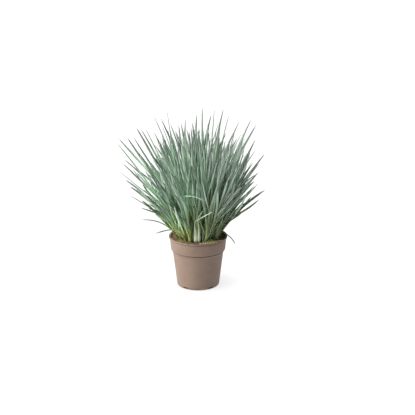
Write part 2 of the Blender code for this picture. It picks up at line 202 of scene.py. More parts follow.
leafLook = {
    "soil": "#757E3A", "base": "#BDC86A", "low": "#9EB76B", "rising": "#91B380", "blade": "#92B598",
    # shaded is the colour of a painted shade low on the clump, and edge that of a painted highlight along the
    # leaf margins
    "sheath": "#E4F2DA", "pale": "#C8E1CF", "deep": "#648F70", "shaded": "#4B5B34", "edge": "#DDE9DE",
    "tip": "#414C47", "dry": "#80765F",
    "coloured": 0.13,  # how far from its foot a leaf has its full colour
    "bloomSize": 0.030, "bloomStep": 0.8, "thickAbove": 0.55, "rubbedBelow": 0.58,  # both of the tone, 0 to 1
    # how much paler the bloom is painted on the clump's right, left and top, as painted light, and how much
    # less bloom older leaves carry
    "rightPaintedLight": 0.66, "leftPaintedLight": 0.42, "topPaintedLight": 0.46, "oldBloom": -0.34,
    "paintedShade": 0.86, "paintedShadeAcross": (-0.022, 0.025), "paintedShadeUp": (0.055, 0.17),
    "edgeHighlight": 0.36, "veins": 9, "veinDepth": 0.00006, "tipReach": (0.012, 0.125), "dryReach": (0.003, 0.010),
}


def leafMaterial(look):
    # thin grass leaf with a wax bloom: blue-green and half dull, with raised veins from end to end and a
    # painted highlight along its margins, and part of the light comes through it
    material, tree, shader = newMaterial("waxyGrassLeaf", IOR=1.42, Subsurface_Weight=0.7,
                                         Subsurface_Radius=(1, 1, 1), Subsurface_Scale=0.0008)
    pattern = addNode(tree, "SeparateXYZ", None, {0: addNode(tree, "UVMap", {"uv_map": "leafPattern"})})
    fromFoot, toTip, tone, age, pallor = [
        addNode(tree, "Attribute", {"attribute_name": name}).outputs["Fac"]
        for name in ("fromFoot", "toTip", "tone", "age", "pallor")]

    # colour up the leaf: olive at the peat, yellow-green above it, then blue-green
    ramp = addNode(tree, "ValToRGB", None, {
        0: addNode(tree, "MapRange", None, {0: fromFoot, 1: 0.0, 2: look["coloured"]})})
    stops = ((0.0, "soil"), (0.10, "base"), (0.36, "low"), (0.62, "rising"), (1.0, "blade"))
    while len(ramp.color_ramp.elements) < len(stops):
        ramp.color_ramp.elements.new(0.5)
    for element, (spot, part) in zip(ramp.color_ramp.elements, stops):
        element.position = spot
        element.color = toLinear(look[part])

    # wax bloom in soft patches, thick on some leaves and rubbed off others, with painted light: paler towards
    # the clump's sides, most on the right away from the lamp, and at its top, and darker in its middle
    place = addNode(tree, "TexCoord").outputs["Object"]
    bloom = addNode(tree, "TexNoise", None, {"Vector": place, "Scale": 1 / look["bloomSize"], "Detail": 3.0})
    across, _, height = addNode(tree, "SeparateXYZ", None, {0: place}).outputs
    # painted light and shade: paler at the clump's sides and top, darker in its middle; older leaves carry
    # less bloom
    paintedLightAcross = addNode(tree, "Math", {"operation": "ADD"}, {
        0: addNode(tree, "MapRange", None, {0: across, 1: 0.0, 2: 0.06, 3: -0.50, 4: look["rightPaintedLight"]}),
        1: addNode(tree, "MapRange", None, {0: across, 1: -0.01, 2: -0.06, 3: 0.0, 4: look["leftPaintedLight"]})})
    paintedTopLightAndAge = addNode(tree, "Math", {"operation": "ADD"}, {
        0: addNode(tree, "MapRange", None, {0: height, 1: 0.20, 2: 0.32, 3: 0.0, 4: look["topPaintedLight"]}),
        1: addNode(tree, "MapRange", None, {0: age, 1: 0.3, 2: 1.0, 3: 0.10, 4: look["oldBloom"]})})
    bloomAndPaintedLight = addNode(tree, "Math", {"operation": "MULTIPLY_ADD"}, {
        0: bloom, 1: look["bloomStep"],
        2: addNode(tree, "Math", {"operation": "ADD"}, {0: paintedLightAcross, 1: paintedTopLightAndAge})})
    onBlade = addNode(tree, "MapRange", None, {0: fromFoot, 1: 0.03, 2: 0.11, 3: 0.2, 4: 0.9})
    thick = addNode(tree, "Math", {"operation": "ADD", "use_clamp": True}, {
        0: addNode(tree, "MapRange", {"clamp": False}, {0: tone, 1: look["thickAbove"], 2: 1.0}), 1: bloomAndPaintedLight})
    rubbed = addNode(tree, "Math", {"operation": "SUBTRACT", "use_clamp": True}, {
        0: addNode(tree, "MapRange", {"clamp": False}, {0: tone, 1: look["rubbedBelow"], 2: 0.0}), 1: bloomAndPaintedLight})
    body = addNode(tree, "Mix", {"data_type": "RGBA"}, {
        0: addNode(tree, "Math", {"operation": "MULTIPLY"}, {0: thick, 1: onBlade}),
        6: ramp.outputs["Color"], 7: toLinear(look["pale"])})
    body = addNode(tree, "Mix", {"data_type": "RGBA"}, {
        0: addNode(tree, "Math", {"operation": "MULTIPLY"}, {0: rubbed, 1: onBlade}),
        6: body, 7: toLinear(look["deep"])})

    # painted shade: low down on the clump's side away from the light, the leaves are painted a darker olive,
    # from none at the first x to full at the second
    (dry, shadeFullAt), (low, high) = look["paintedShadeAcross"], look["paintedShadeUp"]
    paintedShade = addNode(tree, "Math", {"operation": "MULTIPLY"}, {
        0: addNode(tree, "MapRange", None, {0: across, 1: dry, 2: shadeFullAt, 3: 0.0, 4: look["paintedShade"]}),
        1: addNode(tree, "MapRange", None, {0: fromFoot, 1: low, 2: high, 3: 1.0, 4: 0.0})})
    body = addNode(tree, "Mix", {"data_type": "RGBA"}, {0: paintedShade, 6: body, 7: toLinear(look["shaded"])})

    # pale margins as a painted highlight along the edges, which fades out before the tip and under the
    # painted shade
    fromMiddle = addNode(tree, "Math", {"operation": "ABSOLUTE"}, {
        0: addNode(tree, "Math", {"operation": "SUBTRACT"}, {0: pattern.outputs["X"], 1: 0.5})})
    edgeHighlight = addNode(tree, "Math", {"operation": "MULTIPLY"}, {
        0: addNode(tree, "MapRange", None, {0: fromMiddle, 1: 0.34, 2: 0.5, 3: 0.0, 4: look["edgeHighlight"]}),
        1: addNode(tree, "Math", {"operation": "MULTIPLY"}, {
            0: addNode(tree, "MapRange", None, {0: toTip, 1: 0.015, 2: 0.06}),
            1: addNode(tree, "Math", {"operation": "SUBTRACT"}, {0: 1.0, 1: paintedShade})})})
    body = addNode(tree, "Mix", {"data_type": "RGBA"}, {0: edgeHighlight, 6: body, 7: toLinear(look["edge"])})

    # white-green sheaths, then a darker tip, dry brown at the very end of old leaves
    white = addNode(tree, "Math", {"operation": "MULTIPLY"}, {
        0: pallor, 1: addNode(tree, "MapRange", None, {0: fromFoot, 1: 0.012, 2: 0.05, 3: 0.9, 4: 0.15})})
    body = addNode(tree, "Mix", {"data_type": "RGBA"}, {0: white, 6: body, 7: toLinear(look["sheath"])})
    young, old = look["tipReach"]
    reach = addNode(tree, "MapRange", None, {0: age, 1: 0.0, 2: 1.0, 3: young, 4: old})
    tipward = addNode(tree, "Math", {"operation": "MULTIPLY"}, {
        0: addNode(tree, "MapRange", None, {
            0: addNode(tree, "Math", {"operation": "DIVIDE"}, {0: toTip, 1: reach}), 3: 0.92, 4: 0.0}),
        1: addNode(tree, "MapRange", None, {0: age, 1: 0.0, 2: 0.8, 3: 0.25, 4: 1.0})})
    body = addNode(tree, "Mix", {"data_type": "RGBA"}, {0: tipward, 6: body, 7: toLinear(look["tip"])})
    brown, green = look["dryReach"]
    burnt = addNode(tree, "Math", {"operation": "MULTIPLY"}, {
        0: addNode(tree, "MapRange", None, {0: toTip, 1: brown, 2: green, 3: 1.0, 4: 0.0}),
        1: addNode(tree, "MapRange", None, {0: age, 1: 0.75, 2: 0.95})})
    body = addNode(tree, "Mix", {"data_type": "RGBA"}, {0: burnt, 6: body, 7: toLinear(look["dry"])})

    # veins about half a millimetre apart, and painted shade in the groove over the keel
    wave = addNode(tree, "Math", {"operation": "SINE"}, {
        0: addNode(tree, "Math", {"operation": "MULTIPLY"}, {
            0: pattern.outputs["X"], 1: math.tau * look["veins"]})})
    shade = addNode(tree, "Math", {"operation": "MULTIPLY"}, {
        0: addNode(tree, "MapRange", None, {0: wave, 1: -1.0, 2: 1.0, 3: 0.92, 4: 1.05}),
        1: addNode(tree, "MapRange", None, {0: fromMiddle, 1: 0.02, 2: 0.16, 3: 0.88, 4: 1.0})})
    intoShader(tree, shader, {
        "Base Color": addNode(tree, "VectorMath", {"operation": "SCALE"}, {0: body, "Scale": shade}),
        "Roughness": addNode(tree, "MapRange", None, {0: bloom, 1: 0.3, 2: 0.7, 3: 0.42, 4: 0.62}),
        "Normal": addNode(tree, "Bump", None, {
            "Height": wave, "Strength": 0.35, "Distance": look["veinDepth"]})})
    return material


waxyLeaf = leafMaterial(leafLook)

potLook = {
    "plastic": "#7D695C", "worn": "#907E6E", "deep": "#6B5A4F", "dustAndGrooveShade": "#4E3E2C",
    "grain": 0.0006, "grainDepth": 0.0001, "mottle": 0.022, "scuff": 0.016, "grooveZ": 0.0758,
}


def potMaterial(look):
    # injection-moulded polypropylene: dull taupe with a fine grain, faint flow mottling and rubbed scuffs
    material, tree, shader = newMaterial("mouldedPolypropylene", IOR=1.49)
    place = addNode(tree, "TexCoord").outputs["Object"]
    mottle = addNode(tree, "TexNoise", None, {"Vector": place, "Scale": 1 / look["mottle"], "Detail": 4.0})
    scuff = addNode(tree, "TexNoise", None, {
        "Vector": addNode(tree, "Mapping", None, {"Vector": place, "Scale": (1.0, 1.0, 3.5)}),
        "Scale": 1 / look["scuff"], "Detail": 6.0, "Roughness": 0.7})
    grain = addNode(tree, "TexNoise", None, {"Vector": place, "Scale": 1 / look["grain"], "Detail": 2.0})
    body = addNode(tree, "Mix", {"data_type": "RGBA"}, {
        0: addNode(tree, "MapRange", None, {0: mottle, 1: 0.45, 2: 0.75, 3: 0.0, 4: 0.45}),
        6: toLinear(look["plastic"]), 7: toLinear(look["deep"])})
    body = addNode(tree, "Mix", {"data_type": "RGBA"}, {
        0: addNode(tree, "MapRange", None, {0: scuff, 1: 0.55, 2: 0.72, 3: 0.0, 4: 0.5}),
        6: body, 7: toLinear(look["worn"])})

    # peat dust on the lip and in specks, darker towards the foot, and painted shade in the groove under the
    # band
    height = addNode(tree, "SeparateXYZ", None, {0: place}).outputs["Z"]
    lipDustAndDarkerFoot = addNode(tree, "Math", {"operation": "MAXIMUM"}, {
        0: addNode(tree, "MapRange", None, {0: height, 1: 0.1030, 2: 0.1050}),
        1: addNode(tree, "MapRange", None, {0: height, 1: 0.008, 2: 0.0, 3: 0.0, 4: 0.9})})
    # painted shade in the groove under the band's foot
    paintedGrooveShade = addNode(tree, "MapRange", None, {
        0: addNode(tree, "Math", {"operation": "ABSOLUTE"}, {
            0: addNode(tree, "Math", {"operation": "SUBTRACT"}, {0: height, 1: look["grooveZ"]})}),
        1: 0.0004, 2: 0.0011, 3: 0.75, 4: 0.0})
    specks = addNode(tree, "MapRange", None, {0: scuff, 1: 0.42, 2: 0.60, 3: 0.7, 4: 0.0})
    body = addNode(tree, "Mix", {"data_type": "RGBA"}, {
        0: addNode(tree, "Math", {"operation": "MULTIPLY_ADD"}, {0: lipDustAndDarkerFoot, 1: specks, 2: paintedGrooveShade}),
        6: body, 7: toLinear(look["dustAndGrooveShade"])})
    intoShader(tree, shader, {
        "Base Color": body,
        "Roughness": addNode(tree, "MapRange", None, {0: scuff, 1: 0.3, 2: 0.7, 3: 0.50, 4: 0.66}),
        "Normal": addNode(tree, "Bump", None, {
            "Height": grain, "Strength": 0.25, "Distance": look["grainDepth"]})})
    return material


polypropylene = potMaterial(potLook)


def looseMaterial(name, dark, light, size, roughness):
    # something crumbly: each bit takes its own shade from its "shade" attribute, roughened by noise
    material, tree, shader = newMaterial(name, Roughness=roughness)
    rough = addNode(tree, "TexNoise", None, {
        "Vector": addNode(tree, "TexCoord").outputs["Object"], "Scale": 1 / size, "Detail": 5.0})
    shade = addNode(tree, "Attribute", {"attribute_name": "shade"}).outputs["Fac"]
    share = addNode(tree, "Math", {"operation": "MULTIPLY_ADD", "use_clamp": True}, {
        0: rough, 1: 0.8, 2: addNode(tree, "Math", {"operation": "SUBTRACT"}, {0: shade, 1: 0.4})})
    intoShader(tree, shader, {
        "Base Color": addNode(tree, "Mix", {"data_type": "RGBA"}, {
            0: share, 6: toLinear(dark), 7: toLinear(light)}),
        "Normal": addNode(tree, "Bump", None, {"Height": rough, "Strength": 0.6, "Distance": 0.0004})})
    return material


# sphagnum peat: nearly black where damp, brown where its crumbs have dried
dampPeat = looseMaterial("dampSphagnumPeat", "#35291B", "#927A56", 0.002, 0.95)
# bark bits and root fibres: tan, dry and dull
dryBark = looseMaterial("driedBarkAndFibre", "#7D6B4A", "#CBBD97", 0.002, 0.9)
# cushion moss: yellow-olive tufts
cushionMoss = looseMaterial("cushionMoss", "#8B874A", "#D0C686", 0.001, 0.85)
print("materials are made")


# Pot

potForm = {
    "height": 0.105, "lipRadius": 0.060, "lipHeight": 0.0033, "lipCreases": (0.0016, 0.0010),
    "bandTop": 0.0582, "bandFoot": 0.0560, "bandFootZ": 0.0770, "groove": 0.0014, "grooveHeight": 0.0022,
    "shoulder": 0.0523, "shoulderZ": 0.0717, "baseRadius": 0.0443, "baseCorner": 0.0035,
    "wall": 0.0012, "floor": 0.0015, "mouthWalls": 2.2, "mouthDepth": 0.004,
    "stepInset": 0.0034, "stepHeight": 0.0045,  # inside, where the band's foot steps in
    "crease": 0.0002, "edge": 0.0004, "lipRounding": 0.0008, "bend": 0.001,  # roundings, sharpest first
    "sides": 120, "sharpAngle": 28,
    "slots": 5, "firstSlot": -54, "slotWidth": 0.012, "slotHeight": 0.0042,
    "slotInner": 0.0370, "slotOuter": 0.0483,
    "nickHeading": -107.3, "nickWidth": 0.0016, "nickDepth": 0.0011, "nickHeight": 0.0015,
}


def rounded(corners, steps=4):
    # an outline of (radius, z, rounding) corners, each rounded by this much
    points = []
    for index, (radius, z, rounding) in enumerate(corners):
        here = Vector((radius, 0, z))
        if rounding == 0:
            points.append(here)
            continue
        before = Vector((corners[index - 1][0], 0, corners[index - 1][1]))
        after = Vector((corners[index + 1][0], 0, corners[index + 1][1]))
        start = here + (before - here).normalized() * rounding
        end = here + (after - here).normalized() * rounding
        for step in range(steps + 1):
            share = step / steps
            points.append(start.lerp(here, share).lerp(here.lerp(end, share), share))
    return points


def spunBody(points, sides):
    # the outline turned once round Z and closed at both poles
    bm = bmesh.new()
    verts = [bm.verts.new(point) for point in points]
    edges = [bm.edges.new(pair) for pair in zip(verts, verts[1:])]
    bmesh.ops.spin(bm, geom=verts + edges, axis=up, cent=(0, 0, 0), angle=math.tau, steps=sides,
                   use_merge=True)
    bmesh.ops.remove_doubles(bm, verts=bm.verts, dist=1e-6)
    return bm


def cutterBox(bm, size, place, heading):
    box = bmesh.ops.create_cube(bm, size=1)["verts"]
    bmesh.ops.scale(bm, verts=box, vec=size)
    bmesh.ops.translate(bm, verts=box, vec=place)
    turn = Matrix.Rotation(math.radians(heading), 3, "Z")
    bmesh.ops.rotate(bm, verts=box, cent=(0, 0, 0), matrix=turn)


def potOutline(form):
    # half of the pot's section: from the middle underneath, up the outside, over the lip and down the inside
    wall, height, groove = form["wall"], form["height"], form["groove"]
    base, corner = form["baseRadius"], form["baseCorner"]
    shoulder, shoulderZ = form["shoulder"], form["shoulderZ"]
    bandTop, bandFoot, bandZ = form["bandTop"], form["bandFoot"], form["bandFootZ"]
    crease, edge, lip, bend = form["crease"], form["edge"], form["lipRounding"], form["bend"]
    lipZ = height - form["lipHeight"]
    lowCrease, highCrease = form["lipCreases"]
    mouth = bandTop - form["mouthWalls"] * wall
    return rounded([
        (0, 0, 0), (base - corner * 0.2, 0, corner), (shoulder, shoulderZ, 0.0015),
        (bandFoot - groove, bandZ - form["grooveHeight"], crease),
        (bandFoot - 2 * groove, bandZ - crease, crease), (bandFoot, bandZ, edge),
        (bandTop, lipZ - lowCrease, 0.0003), (bandTop - groove * 0.7, lipZ - highCrease, crease),
        (bandTop - groove * 0.5, lipZ, crease), (form["lipRadius"], lipZ, edge),
        (form["lipRadius"], height, lip), (mouth, height, lip), (mouth, lipZ - form["mouthDepth"], bend),
        (bandFoot - wall, bandZ + form["stepHeight"], bend), (bandFoot - form["stepInset"], bandZ, edge),
        (shoulder - wall, shoulderZ, bend), (base - wall, corner, 2 * bend), (0, form["floor"], 0),
    ])


def buildPot(form):
    shell = finishPiece(spunBody(potOutline(form), form["sides"]), "potShell", polypropylene)

    # drain slots through the corner at the foot, and the nick in the lip at the front
    bm = bmesh.new()
    depth = form["slotOuter"] - form["slotInner"]
    for index in range(form["slots"]):
        cutterBox(bm, (depth, form["slotWidth"], 2 * form["slotHeight"]),
                  (form["slotInner"] + depth / 2, 0, 0), form["firstSlot"] + 360 * index / form["slots"])
    cutterBox(bm, (form["nickDepth"] * 2, form["nickWidth"], form["nickHeight"] * 2),
              (form["lipRadius"], 0, form["height"]), form["nickHeading"])
    cutter = meshObject(bm, "slotCutter")
    cut = shell.modifiers.new("drainSlots", "BOOLEAN")
    cut.operation = "DIFFERENCE"
    cut.object = cutter
    bpy.context.view_layer.update()
    shell.data = bpy.data.meshes.new_from_object(shell.evaluated_get(bpy.context.evaluated_depsgraph_get()))
    shell.modifiers.remove(cut)
    bpy.data.objects.remove(cutter)
    shell.data.shade_smooth()
    shell.data.set_sharp_from_angle(angle=math.radians(form["sharpAngle"]))
    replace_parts(shell, "pot")


buildPot(potForm)
print("pot is built")


# Peat, with what lies on it

peatForm = {
    "radius": 0.0554, "rimZ": 0.1022, "middleZ": 0.1048, "rings": 34, "sides": 110,
    "gap": 0.0003, "wallGap": 0.0005, "footInset": 0.0018, "stepRise": 0.0005,  # all clear of the pot
    "lump": 0.0012, "lumpSize": 0.010, "crumb": 0.0006, "crumbSize": 0.0035,
    "mound": (0.026, -0.041, 0.013, 0.0036),  # x, y, reach and rise
    "shade": 0.35,
}


def peatHeight(x, y):
    out = math.hypot(x, y) / peatForm["radius"]
    spot = Vector((x, y, 0))
    lumps = peatForm["lump"] * noise.noise(spot / peatForm["lumpSize"])
    lumps += peatForm["crumb"] * noise.noise(spot / peatForm["crumbSize"])
    moundX, moundY, reach, rise = peatForm["mound"]
    lumps += rise * math.exp(-((x - moundX) ** 2 + (y - moundY) ** 2) / reach ** 2)
    return lerp(peatForm["middleZ"], peatForm["rimZ"], out * out) + lumps


def buildPeat(form):
    # the root ball, a hair inside the pot's wall and floor, with a lumpy top
    wall, foot = potForm["wall"] + form["wallGap"], potForm["floor"] + form["gap"]
    stepZ, rise = potForm["bandFootZ"], form["stepRise"]
    sides = [
        (0, foot), (potForm["baseRadius"] - potForm["wall"] - form["footInset"], foot),
        (potForm["shoulder"] - wall, potForm["shoulderZ"]),
        (potForm["bandFoot"] - potForm["stepInset"] - form["gap"], stepZ + rise),
        (potForm["bandFoot"] - wall, stepZ + potForm["stepHeight"] + 2 * rise),
    ]
    top = [(form["radius"] * ring / form["rings"], form["rimZ"]) for ring in range(form["rings"], -1, -1)]
    bm = spunBody([Vector((radius, 0, z)) for radius, z in sides + top], form["sides"])
    shade = bm.verts.layers.float.new("shade")
    for vert in bm.verts:
        if vert.co.z > form["rimZ"] - 0.001:
            vert.co.z = peatHeight(vert.co.x, vert.co.y)
        vert[shade] = form["shade"]
    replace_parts(finishPiece(bm, "peatBall", dampPeat), "soil")


def layBit(bm, shade, verts, place, size, brightness, lie):
    # scales, turns and places one loose bit, and gives it its shade
    bmesh.ops.scale(bm, verts=verts, vec=size)
    turn = Quaternion(up, rng.uniform(0, math.tau)) @ Quaternion((1, 0, 0), rng.gauss(0, lie))
    bmesh.ops.rotate(bm, verts=verts, cent=(0, 0, 0), matrix=turn.to_matrix())
    bmesh.ops.translate(bm, verts=verts, vec=place)
    for vert in verts:
        vert[shade] = brightness


def scattered(reach):
    out, heading = reach * math.sqrt(rng.random()), rng.uniform(0, math.tau)
    return out * math.cos(heading), out * math.sin(heading)


crumbForm = {
    "count": 1300, "length": (0.0007, 0.0024), "smallChance": 0.5, "small": 0.6, "lie": 0.5, "edge": 0.001,
}


def buildCrumbs(form):
    bm = bmesh.new()
    shade = bm.verts.layers.float.new("shade")
    for _ in range(form["count"]):
        x, y = scattered(peatForm["radius"] - form["edge"])
        size = rng.uniform(*form["length"]) * (form["small"] if rng.random() < form["smallChance"] else 1)
        ball = bmesh.ops.create_icosphere(bm, subdivisions=1, radius=0.5)["verts"]
        for vert in ball:
            vert.co *= rng.uniform(0.75, 1.2)
        layBit(bm, shade, ball, Vector((x, y, peatHeight(x, y) + size * 0.2)),
               (size, size * rng.uniform(0.6, 1), size * rng.uniform(0.5, 0.8)), rng.random() ** 1.5,
               form["lie"])
    finishPiece(bm, "peatCrumbs", dampPeat)


barkForm = {
    "count": 320, "length": (0.0015, 0.0055), "thick": (0.0004, 0.0012), "flat": 0.6, "lie": 0.2,
    "edge": 0.003, "raised": 0.0005,
    # those spilt on the lip, right of the middle: how many, between which headings and radii
    "spilt": 170, "spill": (-86, -34), "spillOut": (0.0548, 0.0600),
    "spiltLongest": 0.0028, "spiltShade": (0.6, 1), "spiltStout": 1.5,
}


def buildBark(form):
    bm = bmesh.new()
    shade = bm.verts.layers.float.new("shade")
    for index in range(form["count"]):
        length = rng.uniform(*form["length"])
        if index < form["spilt"]:
            heading = math.radians(rng.uniform(*form["spill"]))
            out = rng.uniform(*form["spillOut"])
            x, y, z = out * math.cos(heading), out * math.sin(heading), potForm["height"]
            length = min(length, form["spiltLongest"])
            brightness, stout = rng.uniform(*form["spiltShade"]), form["spiltStout"]
        else:
            x, y = scattered(peatForm["radius"] - form["edge"])
            z, brightness, stout = peatHeight(x, y), rng.random(), 1
        stick = bmesh.ops.create_cone(
            bm, cap_ends=True, segments=5, radius1=0.5, radius2=0.32, depth=1)["verts"]
        bmesh.ops.rotate(bm, verts=stick, cent=(0, 0, 0), matrix=Matrix.Rotation(math.pi / 2, 3, "Y"))
        thick = rng.uniform(*form["thick"]) * stout
        layBit(bm, shade, stick, Vector((x, y, z + form["raised"])),
               (length, thick, thick * form["flat"]), brightness, form["lie"])
    finishPiece(bm, "barkBits", dryBark)


mossForm = {
    "tufts": 2200, "length": (0.0010, 0.0028), "width": 0.5, "lie": 0.5, "edge": 0.0005,
    # patches as x, y, reach and how thickly they grow
    "patches": ((0.020, -0.043, 0.012, 1.0), (0.036, -0.033, 0.012, 1.0), (-0.036, -0.034, 0.010, 0.1),
                (0.028, -0.040, 0.009, 0.9), (0.010, 0.045, 0.012, 0.3)),
}


def buildMoss(form):
    bm = bmesh.new()
    shade = bm.verts.layers.float.new("shade")
    for _ in range(form["tufts"]):
        middleX, middleY, reach, share = rng.choice(form["patches"])
        x, y = middleX + rng.gauss(0, reach * 0.5), middleY + rng.gauss(0, reach * 0.5)
        if rng.random() > share or math.hypot(x, y) > peatForm["radius"] - form["edge"]:
            continue
        length = rng.uniform(*form["length"])
        tuft = bmesh.ops.create_cone(
            bm, cap_ends=True, segments=5, radius1=0.5, radius2=0.08, depth=1)["verts"]
        layBit(bm, shade, tuft, Vector((x, y, peatHeight(x, y) + length * 0.35)),
               (length * form["width"], length * form["width"], length), rng.random(), form["lie"])
    finishPiece(bm, "mossTufts", cushionMoss)


buildPeat(peatForm)
buildCrumbs(crumbForm)
buildBark(barkForm)
buildMoss(mossForm)
print("peat, crumbs, bark and moss are laid")


# Leaves

leafForm = {
    "ringPlaces": (0.14, 0.47, 0.79),  # where along it a packed blade has its three sections
    "stations": (-0.10, -0.05, 0.0, 0.05, 0.10, 0.17, 0.25, 0.34, 0.43,
                 0.52, 0.61, 0.70, 0.78, 0.85, 0.91, 0.96, 1.0),  # those below 0 are in the sheath
    "columns": 6, "thickness": 0.00045, "thinBelow": 0.0012, "slimmer": 0.75, "fuller": 1.46,
    "footWidth": 0.54, "footWidthTo": 0.3, "tipHalf": 0.00065, "tipPower": 0.54, "footSpread": 0.75,
    "fold": 1.6, "footFold": 1.3, "footFoldTo": 0.2, "deepestFold": 1.1, "foldPower": 1.25,
    "sway": 0.0028, "snake": 0.0014, "roll": 32, "edgeOn": 0.6, "edgeRoll": 45,
    "droopTips": (0.12, 0.18), "droopWidth": 0.55, "droopSway": 0.3, "droopArch": 0.006,
    "oldAge": (0.55, 1.0), "youngAge": (0.0, 0.45), "paintedLightBehind": 0.07, "crownDepth": 0.04,
}


def edgesAndKeel(ring):
    # of three corners, the two that are furthest apart are the leaf's edges, and the third is its keel
    orders = ((0, 1, 2), (1, 2, 0), (2, 0, 1))
    first, second, keel = max(orders, key=lambda order: (ring[order[0]] - ring[order[1]]).length)
    return [ring[first], ring[second], ring[keel]]


def readLeaves(node):
    # the blades of a packed tiller, each with its path and the directions and sizes of its sections,
    # and the middle of the tiller's foot
    bm = bmesh.new()
    bm.from_mesh(node.data)
    bmesh.ops.remove_doubles(bm, verts=bm.verts, dist=1e-6)
    bm.verts.index_update()
    leaves, blades = [], set()
    for tip in [vert for vert in bm.verts if len(vert.link_edges) == 3]:
        rings = [[edge.other_vert(tip) for edge in tip.link_edges]]
        passed = {tip, *rings[0]}
        for _ in range(3):
            below = {edge.other_vert(vert) for vert in rings[-1] for edge in vert.link_edges} - passed
            passed |= below
            rings.append(sorted(below, key=lambda vert: vert.index))
        if [len(ring) for ring in rings] != [3, 3, 3, 4]:
            continue
        blades |= {tip, *rings[0], *rings[1], *rings[2]}
        root = sum((vert.co for vert in rings[3]), Vector()) / 4
        sections = [edgesAndKeel([vert.co.copy() for vert in ring]) for ring in rings[2::-1]]
        for before, after in zip(sections, sections[1:]):
            if (before[1] - before[0]).dot(after[1] - after[0]) < 0:
                after[0], after[1] = after[1], after[0]
        middles = [(left + right) / 2 for left, right, keel in sections]
        upright = shareOf(tip.co.z, *leafForm["droopTips"])
        leaves.append({
            "curve": np.polyfit((0, *leafForm["ringPlaces"], 1), np.array([root, *middles, tip.co]), 3),
            "root": root, "across": [(right - left).normalized() for left, right, keel in sections],
            "keels": [(keel - middle).normalized() for (_, _, keel), middle in zip(sections, middles)],
            "halves": [(right - left).length / 2 for left, right, keel in sections],
            "folds": [(keel - middle).length / (middle - left).length
                      for (left, _, keel), middle in zip(sections, middles)],
            "slim": leafForm["slimmer"] * lerp(leafForm["droopWidth"], 1, upright),
            "reach": 1, "drooping": upright < 1, "ages": "oldAge",
        })
    stalk = [vert.co.copy() for vert in bm.verts if vert not in blades]
    lowest = min(point.z for point in stalk)
    foot = [point for point in stalk if point.z < lowest + 0.0005]
    bm.free()
    return leaves, sum(foot, Vector()) / len(foot)


def pointAt(leaf, share):
    if "spots" in leaf:
        return Vector([float(np.interp(share, leaf["reached"], axis)) for axis in zip(*leaf["spots"])])
    cubic = leaf["curve"]
    place = Vector(((cubic[0] * share + cubic[1]) * share + cubic[2]) * share + cubic[3])
    part = shareOf(share, 0, leaf["reach"])
    return place + leaf["sway"] * math.sin(math.pi * part) + leaf["snake"] * math.sin(math.tau * part)


def betweenRings(values, share):
    # a value read between the three rings, held before the first and after the last
    places = leafForm["ringPlaces"]
    if share <= places[0]:
        return values[0]
    if share >= places[2]:
        return values[2]
    low = 0 if share < places[1] else 1
    return lerp(values[low], values[low + 1], (share - places[low]) / (places[low + 1] - places[low]))


def leafHalf(leaf, share):
    # half the width: narrow at the foot, widest past the middle, then drawn out to the tip
    _, middle, last = leafForm["ringPlaces"]
    fuller = lerp(1, leafForm["fuller"], shareOf(share, middle, last))
    if share > last:
        left = shareOf(share, 1, last)
        return max(leafForm["tipHalf"], leaf["halves"][2] * fuller * left ** leafForm["tipPower"])
    risen = shareOf(share, leafForm["stations"][0], leafForm["footWidthTo"])
    return betweenRings(leaf["halves"], share) * fuller * lerp(leafForm["footWidth"], 1, risen)


def weldedTube(bm, layers, columns, rows, shape, strip):
    # a grid rolled into a tube by shape(column, row), with its seam and both ends closed
    made = bmesh.ops.create_grid(bm, x_segments=columns, y_segments=rows, size=1)["verts"]
    spots = {vert: (round((vert.co.x + 1) / 2 * columns), round((vert.co.y + 1) / 2 * rows))
             for vert in made}
    across = {}
    for vert, (column, row) in spots.items():
        vert.co, across[vert], values = shape(column, row)
        for name, value in values.items():
            vert[layers[name]] = value
    low, high = strip
    for face in {face for vert in made for face in vert.link_faces}:
        for loop in face.loops:
            column, row = spots[loop.vert]
            loop[layers["pattern"]].uv = (across[loop.vert], row / rows)
            loop[layers["bake"]].uv = (lerp(low, high, column / columns), lerp(0.015, 0.985, row / rows))
    seam = [vert for vert, (column, row) in spots.items() if column in (0, columns) and 0 < row < rows]
    foot = [vert for vert, (column, row) in spots.items() if row == 0]
    tip = [vert for vert, (column, row) in spots.items() if row == rows]
    bmesh.ops.remove_doubles(bm, verts=seam, dist=1e-6)
    for end in (foot, tip):
        bmesh.ops.pointmerge(bm, verts=end, merge_co=sum((vert.co for vert in end), Vector()) / len(end))


